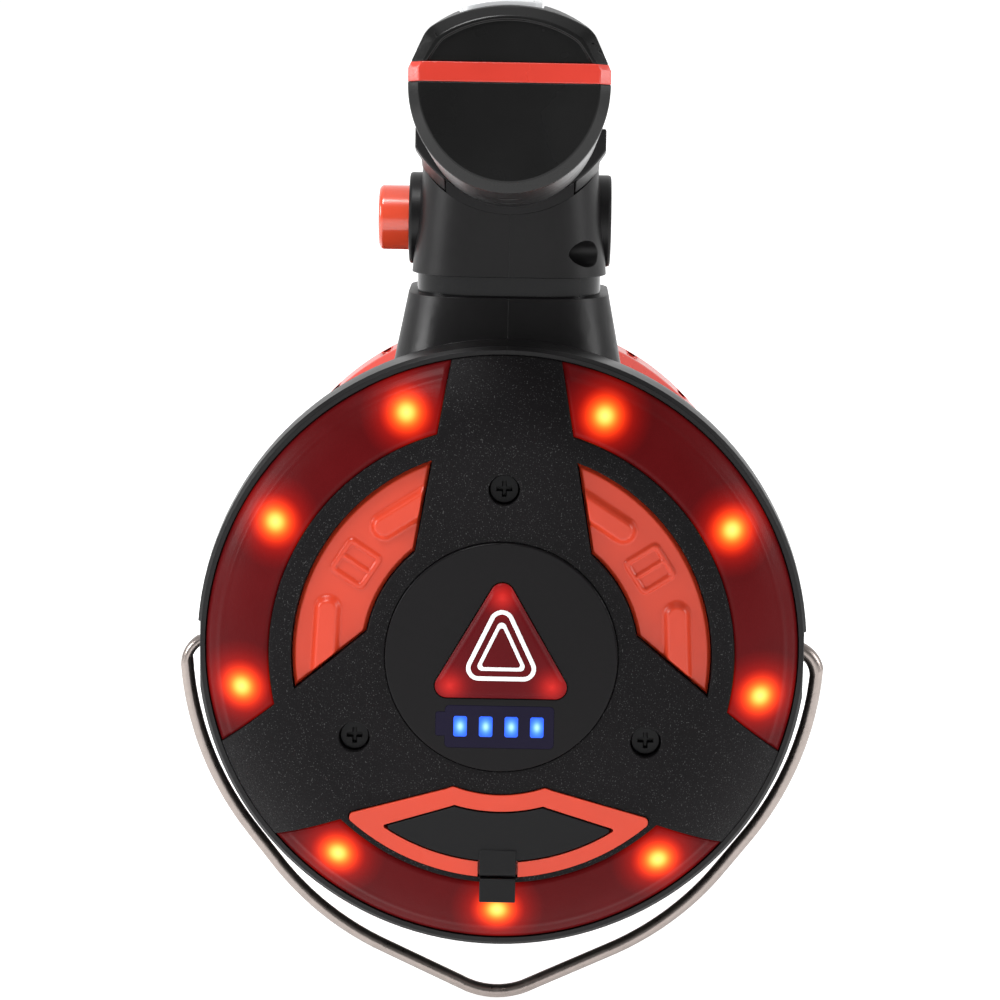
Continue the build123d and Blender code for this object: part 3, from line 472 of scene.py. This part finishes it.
def rounded_triangle(turn, apex, base, half, corner):
    """Distance from (0, 0) to the side of an upright triangle with round corners, at each angle.
    It is the support of three circles' hull, found as the nearest of its straight sides and corner arcs."""
    corners = np.array([(0.0, apex), (-half, base), (half, base)])
    lengths = [np.linalg.norm(corners[(k + 2) % 3] - corners[(k + 1) % 3]) for k in range(3)]
    incentre = sum(l * c for l, c in zip(lengths, corners)) / sum(lengths)
    area = half * (apex - base)
    inradius = 2 * area / sum(lengths)
    inner = incentre + (corners - incentre) * (1 - corner / inradius)
    heading = np.stack([np.cos(turn), np.sin(turn)], -1)
    reach = np.zeros_like(turn)
    for k in range(3):
        centre = inner[k]
        dot = heading @ centre
        gap = dot ** 2 - centre @ centre + corner ** 2
        arc = np.where(gap > 0, dot + np.sqrt(np.clip(gap, 0, None)), 0)
        reach = np.maximum(reach, arc)
        other = inner[(k + 1) % 3]
        side = (other - centre) / np.linalg.norm(other - centre)
        normal = np.array([side[1], -side[0]])
        if normal @ (centre - incentre) < 0:
            normal = -normal
        facing = heading @ normal
        line = np.where(facing > 1e-6, (centre @ normal + corner) / np.clip(facing, 1e-6, None), 0)
        along = (heading * line[..., None] - centre) @ side
        on_side = (along >= 0) & (along <= np.linalg.norm(other - centre))
        reach = np.maximum(reach, np.where(on_side, line, 0))
    return reach


# ------------------------------------------------------------ warning button
# Translucent red triangle with rounded corners and a bevelled edge; its corners carry painted glow, emission
# with no lamp behind them.
# A white double line is printed on it.
TURNS = np.linspace(0, 2 * math.pi, 361)
outline = rounded_triangle(TURNS, 16.9 * MM, -7.9 * MM, 14.4 * MM, 2.3 * MM)
shares = np.array([0.0, 0.15, 0.3, 0.45, 0.6, 0.72, 0.80, 0.86, 0.90, 0.94, 0.97, 1.0])
button_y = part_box("warning_button")[0].y
crown = 0.12 * MM * shares ** 2 + 0.75 * MM * step(shares, 0.86, 1.0)
reach = shares[:, None] * outline[None, :]
across = reach * np.cos(TURNS)
up = reach * np.sin(TURNS)
# Spots of painted glow at the triangle's corners; no lamp sits behind them.
painted_glow_spots = np.array([(0.0, 12.0 * MM), (-9.8 * MM, -5.4 * MM), (9.8 * MM, -5.4 * MM)])
far = np.sqrt((across[..., None] - painted_glow_spots[:, 0]) ** 2 + (up[..., None] - painted_glow_spots[:, 1]) ** 2).min(-1)
warning_red = glow_finish(
    "warning_red", (0.050, 0.003, 0.005), (0.85, 0.035, 0.025),
    ((0.10, (0.60, 0.018, 0.012)), (0.26, (0.22, 0.006, 0.005)), (0.46, (0.060, 0.002, 0.002))), 0.9)
points = np.stack([across, button_y + crown[:, None] + 0 * across, up], -1)
button = sheet_mesh("warning_triangle", points, 3.6 * MM, warning_red, far * 100)
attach(button, "warning_button")
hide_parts("warning_button")

print_white = moulded("printed_white", (0.78, 0.78, 0.78), 0.45, 0.3 * MM, 0.004 * MM, vary=0.06)
# Each line: the outer and inner triangle, as top, bottom, half width and corner in millimetres.
LINES = (
    ((12.8, -4.3, 8.15, 2.45), (10.83, -3.45, 6.8, 1.6)),
    ((8.3, -2.35, 5.06, 0.9), (6.65, -1.65, 3.95, 0.5)))
ribbons = []
for outer, inner in LINES:
    far_side = rounded_triangle(TURNS, *[size * MM for size in outer])
    near_side = rounded_triangle(TURNS, *[size * MM for size in inner])
    rows = near_side + (far_side - near_side) * np.linspace(0, 1, 5)[:, None]
    depth = button_y - 0.06 * MM + 0 * rows
    ribbons.append(np.stack([rows * np.cos(TURNS), depth, rows * np.sin(TURNS)], -1))
for place, ribbon in zip(("outer", "inner"), ribbons):
    line = sheet_mesh("printed_line_" + place, ribbon, 0.08 * MM, print_white)
    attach(line, "warning_button")
    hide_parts("warning_symbol")


# -------------------------------------------------------------- charge window
# Smoked window in the outline of a battery; four blue bars shine through it.
window_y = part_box("battery_window")[0].y
BAR_X = [(-7.7 + 4.93 * place) * MM for place in range(4)]
BAR_Z = -13.55 * MM


def plate_reach(turn, half_wide, half_high, corner):
    """Distance from the middle to the side of a rectangle with round corners, at each angle."""
    cos, sin = np.abs(np.cos(turn)), np.abs(np.sin(turn))
    flat = np.minimum(half_wide / np.clip(cos, 1e-9, None), half_high / np.clip(sin, 1e-9, None))
    cx, cz = half_wide - corner, half_high - corner
    dot = cos * cx + sin * cz
    gap = dot ** 2 - cx ** 2 - cz ** 2 + corner ** 2
    arc = dot + np.sqrt(np.clip(gap, 0, None))
    in_corner = (flat * cos > cx) & (flat * sin > cz)
    return np.where(in_corner, arc, flat)


smoked = moulded("smoked_window", (0.008, 0.006, 0.016), 0.18, 0.8 * MM, 0.003 * MM)
smoked_shader = smoked.node_tree.nodes["Principled BSDF"]
# A faint blue emission on the window itself is painted light from the bars behind it.
smoked_shader.inputs["Emission Color"].default_value = (0.02, 0.03, 0.25, 1.0)
smoked_shader.inputs["Emission Strength"].default_value = 0.02
smoked_shader.inputs["Specular IOR Level"].default_value = 0.06
rolled("battery_window", "head", smoked, edge=0.12 * MM)
blue_bar = glow_finish(
    "blue_bar", (0.02, 0.06, 0.30), (0.50, 0.85, 1.0),
    ((0.05, (0.30, 0.65, 1.0)), (0.11, (0.06, 0.25, 1.0)), (0.20, (0.01, 0.06, 0.85))), 1.3)
bars = []
for x in BAR_X:
    reach = np.linspace(0, 1, 9)[:, None] * plate_reach(TURNS, 1.3 * MM, 2.0 * MM, 0.45 * MM)[None, :]
    across = reach * np.cos(TURNS)
    up = reach * np.sin(TURNS)
    points = np.stack([x + across, window_y - 0.10 * MM + 0 * reach, BAR_Z + up], -1)
    bars.append((points, np.hypot(across * 1.4, up)))
for place, (points, far) in enumerate(bars):
    bar = sheet_mesh("level_bar_%d" % (place + 1), points, 0.12 * MM, blue_bar, far * 100)
    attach(bar, "head")


# ---------------------------------------------------------------- port cover
# Orange rubber frame round a black rubber flap. The flap's strap runs down over the frame.
finished("port_frame", orange_soft)
rolled("port_cover", "port_cover", soft_black, edge=0.10 * MM, corner=50.0)
rolled("port_strap", "head", soft_black, edge=0.25 * MM)


# -------------------------------------------------------------- neck and pivot
# Two black halves screwed together round the pivot, on a polished ring. The lock button's red cap is on
# the left, in its collar; a plain cap closes the right.
polished_black = moulded("polished_black", (0.006, 0.006, 0.0065), 0.16, 0.8 * MM, 0.003 * MM)
polished_black.node_tree.nodes["Principled BSDF"].inputs["Specular IOR Level"].default_value = 0.20
for half in ("neck_left", "neck_right"):
    rolled(half, "head", shell_black, edge=0.12 * MM, corner=50.0)
finished("neck_ring", polished_black)
rolled("neck_screws", "head", black_steel, edge=0.1 * MM, corner=40.0)
rolled("lock_collar", "head", shell_black, edge=0.3 * MM)
rolled("pivot_cap", "head", shell_black, edge=0.3 * MM)
orange_gloss = moulded("orange_gloss", (0.62, 0.055, 0.020), 0.20, 0.9 * MM, 0.004 * MM, vary=0.12, coat=0.6)
rolled("lock_button", "lock_button", orange_gloss, edge=0.2 * MM)


# --------------------------------------------------------------------- bail
# Stainless spring wire, bent cold: hooked ends in the housing, round shoulders and a blunt point.
drawn_wire = metal("drawn_stainless", (0.30, 0.26, 0.24), 0.30, (700, 700, 700))
finished("bail", drawn_wire)


# --------------------------------------------------------------------- grip
# Black shells with a red band between them and a polished tail cap; the collar sits in the neck's saddle.
for node in ("grip_lower", "grip_upper", "grip_collar"):
    rolled(node, "grip", shell_black, edge=0.3 * MM)
band_red = moulded("band_red", (0.50, 0.030, 0.016), 0.28, 0.6 * MM, 0.006 * MM, vary=0.15, coat=0.3)
rolled("grip_band", "grip", band_red, edge=0.15 * MM)
tail_black = moulded("tail_black", (0.006, 0.006, 0.006), 0.26, 0.5 * MM, 0.006 * MM)
tail_black.node_tree.nodes["Principled BSDF"].inputs["Specular IOR Level"].default_value = 0.20
rolled("tail_cap", "grip", tail_black, edge=0.2 * MM)
power_grey = moulded("power_grey", (0.60, 0.61, 0.62), 0.34, 0.5 * MM, 0.008 * MM, vary=0.08)
rolled("power_button", "power_button", power_grey, edge=0.3 * MM)


# ------------------------------------------------------------ floor and light
# A plain pale floor and soft studio light.
floor_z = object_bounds()[0][2]
floor_mesh = bpy.data.meshes.new("floor")
FLOOR_HALF = 6.0
floor_mesh.from_pydata(
    [(-FLOOR_HALF, -FLOOR_HALF, floor_z), (FLOOR_HALF, -FLOOR_HALF, floor_z),
     (FLOOR_HALF, FLOOR_HALF, floor_z), (-FLOOR_HALF, FLOOR_HALF, floor_z)], [], [(0, 1, 2, 3)])
floor = bpy.data.objects.new("floor", floor_mesh)
bpy.context.scene.collection.objects.link(floor)
pale_floor = moulded("pale_floor", (0.80, 0.80, 0.80), 0.7, 5.0 * MM, 0.01 * MM, vary=0.01)
pale_shader = pale_floor.node_tree.nodes["Principled BSDF"]
pale_shader.inputs["Emission Color"].default_value = (1.0, 1.0, 1.0, 1.0)
pale_shader.inputs["Emission Strength"].default_value = 0.85
floor_mesh.materials.append(pale_floor)

world = bpy.data.worlds.new("studio")
bpy.context.scene.world = world
world.use_nodes = True
sky = world.node_tree
heading = sky.nodes.new("ShaderNodeTexCoord")
split = sky.nodes.new("ShaderNodeSeparateXYZ")
sky.links.new(heading.outputs["Generated"], split.inputs["Vector"])
wall = sky.nodes.new("ShaderNodeMapRange")
wall.interpolation_type = "SMOOTHSTEP"
wall.inputs["From Min"].default_value = -0.15
wall.inputs["From Max"].default_value = 0.60
wall.inputs["To Min"].default_value = 0.25
wall.inputs["To Max"].default_value = 1.05
sky.links.new(split.outputs["Y"], wall.inputs["Value"])
ceiling = sky.nodes.new("ShaderNodeMapRange")
ceiling.interpolation_type = "SMOOTHSTEP"
ceiling.inputs["From Min"].default_value = 0.72
ceiling.inputs["From Max"].default_value = 0.98
ceiling.inputs["To Min"].default_value = 0.0
ceiling.inputs["To Max"].default_value = 1.0
sky.links.new(split.outputs["Z"], ceiling.inputs["Value"])
lighter = sky.nodes.new("ShaderNodeMath")
lighter.operation = "MAXIMUM"
sky.links.new(wall.outputs["Result"], lighter.inputs[0])
sky.links.new(ceiling.outputs["Result"], lighter.inputs[1])
sky.links.new(lighter.outputs["Value"], sky.nodes["Background"].inputs["Strength"])
sky.nodes["Background"].inputs["Color"].default_value = (1.0, 1.0, 1.0, 1.0)
for name, place, size, power in (
        ("top_box", (-0.25, -0.50, 0.95), 0.30, 8.0), ("left_box", (-0.95, -0.30, 0.35), 0.35, 6.0),
        ("right_box", (0.95, -0.30, 0.35), 0.35, 4.0)):
    light = bpy.data.lights.new(name, "AREA")
    light.size = size
    light.energy = power
    lamp = bpy.data.objects.new(name, light)
    bpy.context.scene.collection.objects.link(lamp)
    lamp.location = place
    aim = mathutils.Vector((0.0, -0.06, 0.03)) - lamp.location
    lamp.rotation_euler = aim.to_track_quat("-Z", "Y").to_euler()

# Long lens from behind and a little above, level with the middle of the hub.
CAMERA_FAR = 0.680
CAMERA_RISE = math.radians(9.0)
CAMERA_YAW = math.radians(0.4)
CAMERA_ROLL = math.radians(1.0)
FOCAL = 127.3
back = np.array([math.sin(CAMERA_YAW) * math.cos(CAMERA_RISE), -math.cos(CAMERA_YAW) * math.cos(CAMERA_RISE),
                 math.sin(CAMERA_RISE)])
level = np.cross(-back, (0.0, 0.0, 1.0))
level /= np.linalg.norm(level)
upward = np.cross(level, -back)
right = level * math.cos(CAMERA_ROLL) + upward * math.sin(CAMERA_ROLL)
over = upward * math.cos(CAMERA_ROLL) - level * math.sin(CAMERA_ROLL)
HUB_IN_VIEW = (0.0013, -0.1575)
view_width = 36.0 / FOCAL
eye = np.array([0.0, hub_y, 0.0]) + back * CAMERA_FAR
eye -= (right * HUB_IN_VIEW[0] + over * HUB_IN_VIEW[1]) * view_width * CAMERA_FAR
camera_data = bpy.data.cameras.new("camera")
camera_data.lens = FOCAL
camera_data.clip_start = 0.01
camera = bpy.data.objects.new("camera", camera_data)
bpy.context.scene.collection.objects.link(camera)
turned = mathutils.Matrix((right, over, back)).transposed().to_4x4()
turned.translation = eye
camera.matrix_world = turned
bpy.context.scene.camera = camera
bpy.context.scene.view_settings.view_transform = "Standard"
